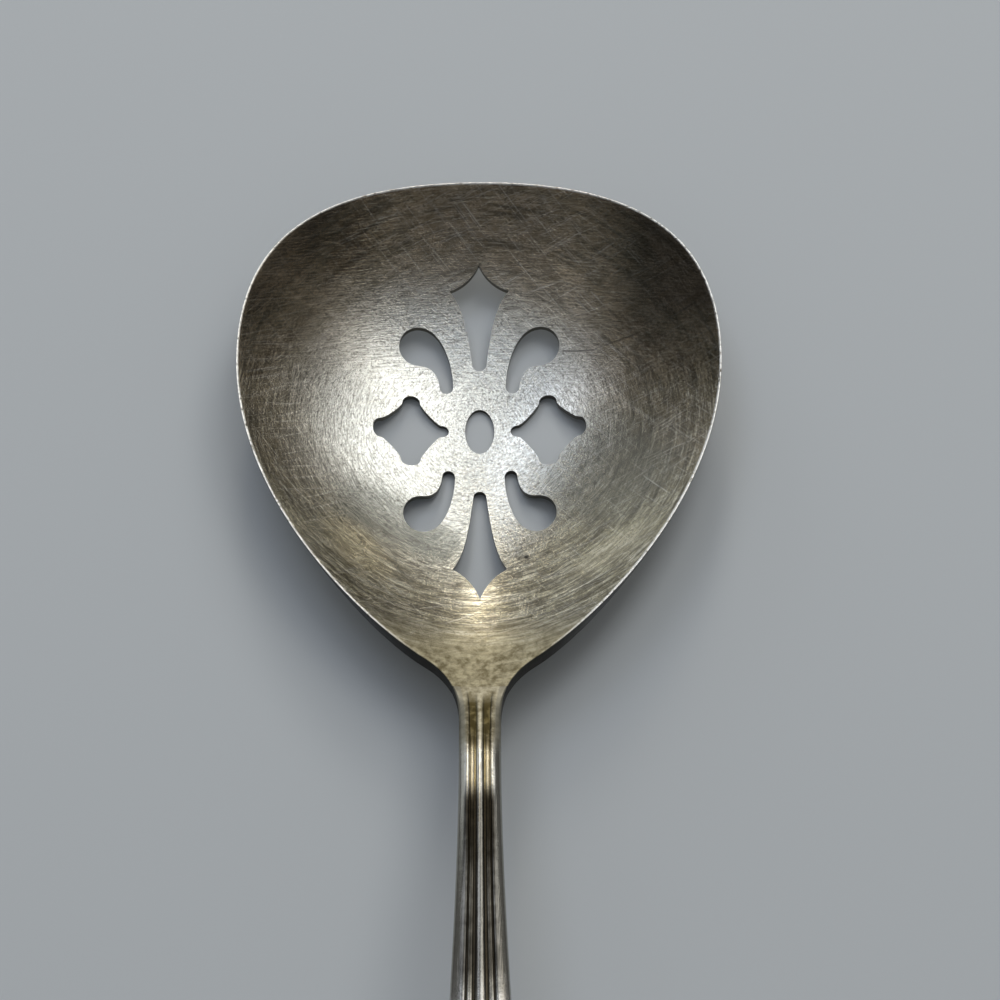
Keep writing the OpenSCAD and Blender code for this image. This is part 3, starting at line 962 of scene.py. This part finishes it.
# %% Ride and replace
for piece, part, finish_slot in ((bowl, "bowl", "bowl_plate"), (handle, "handle", "handle_plate")):
    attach(piece, "root")
    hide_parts(part)
print("pieces:", [piece.name for piece in (bowl, handle)])

# %% [markdown]
# ## Table
# The spoon lies on a plain table in matt pale paint, which shows nothing but a soft shadow. A backdrop
# that curves up behind would do as well, but the camera looks down and sees nothing else, so a wide
# flat plane is enough.

# %% Table
TABLE_SIDE = 6  # metres
bpy.ops.object.select_all(action="DESELECT")
bpy.ops.mesh.primitive_plane_add(size=TABLE_SIDE)
table = bpy.context.object
table.name = "table"
table_finish, tree = new_finish("matt pale paint")
shader = node(tree, "BsdfPrincipled", Base_Color=colour("#d5dbe1"), Roughness=0.8)
node(tree, "OutputMaterial", Surface=shader[0])
table.data.materials.append(table_finish)
print("table:", TABLE_SIDE, "m wide")

# %% [markdown]
# ## Light
# Metal shows what is round it, so the light is as much a part of the look as the finish. Small lamps
# would give only glints. Panels as in a studio are mirrored as soft, bright fields, and each is placed
# for the part of the spoon that mirrors it: the main panel for the middle and left of the bowl, the cool
# panel for its right, the side, left and overhead panels for its walls, the warm panel and strip for the
# heel and the reeds, and a tall far wall for the lower bowl. Little light comes from the front.

# %% Light
BOWL_MIDDLE = place(0, base_y, floor_t)


def panel(name, tilt, sideways, distance, size, radiance, code):
    up = Vector((math.sin(math.radians(sideways)), 0, math.cos(math.radians(sideways))))
    way = Vector((up.x, math.sin(math.radians(tilt)) * up.z, math.cos(math.radians(tilt)) * up.z))
    spot = BOWL_MIDDLE + way * distance
    bpy.ops.object.light_add(type="AREA", location=spot)
    lamp = bpy.context.object
    lamp.name = name
    lamp.rotation_euler = way.to_track_quat("Z", "X").to_euler()
    lamp.data.shape = "RECTANGLE"
    lamp.data.size, lamp.data.size_y = size
    lamp.data.energy = radiance * math.pi * size[0] * size[1]
    lamp.data.color = colour(code)[:3]
    print(name, [round(v, 2) for v in spot], round(lamp.data.energy, 2), "W")


# Degrees from straight up towards the bowl's front and towards the right, metres from the bowl, height
# and width in metres, radiance and colour.
panel("main panel", 31, 17, 1.0, (0.82, 0.31), 2.6, "#fdfcf7")
panel("side panel", 15, 29, 1.0, (0.24, 0.36), 1.5, "#fff8ec")
panel("cool panel", 32, -15.5, 1.0, (0.33, 0.4), 2.2, "#eef4ff")
panel("overhead panel", 3, -10, 1.0, (0.62, 0.44), 0.52, "#e4eefb")
panel("left panel", 68, -33, 1.0, (0.5, 0.4), 1.0, "#eaf1f6")
panel("warm panel", 62, 0, 1.0, (0.22, 0.16), 9.0, "#fff8ea")
panel("warm strip", 51, -4, 1.0, (0.27, 0.1), 2.4, "#ffeaba")
panel("far wall", 75, 0, 1.3, (2.4, 0.72), 0.5, "#f3f3ee")

world = bpy.data.worlds.new("studio")
bpy.context.scene.world = world
world.use_nodes = True
world.node_tree.nodes["Background"].inputs["Color"].default_value = colour("#dfe0e0")
world.node_tree.nodes["Background"].inputs["Strength"].default_value = 0.2

# %% [markdown]
# ## Camera
# The camera looks down on the spoon from the handle's side, 25 degrees away from straight down, through
# a long lens that hardly narrows what is further off. It could be aimed with a constraint, but a fixed
# place and turn keep the view the same.

# %% Camera
EYE = Vector((2.0, -88.85, 258.09)) * MM
TILT = Matrix.Rotation(math.radians(25), 3, "X")
ROLL = Matrix.Rotation(math.radians(-0.4), 3, "Z")
bpy.ops.object.camera_add(location=EYE, rotation=(TILT @ ROLL).to_euler())
camera = bpy.context.object
camera.data.sensor_width = 36
camera.data.lens = 102.7
camera.data.clip_start = 0.01
bpy.context.scene.camera = camera
bpy.context.scene.view_settings.view_transform = "Standard"
print("camera:", [round(v, 3) for v in EYE], round(camera.data.lens, 1), "mm lens")
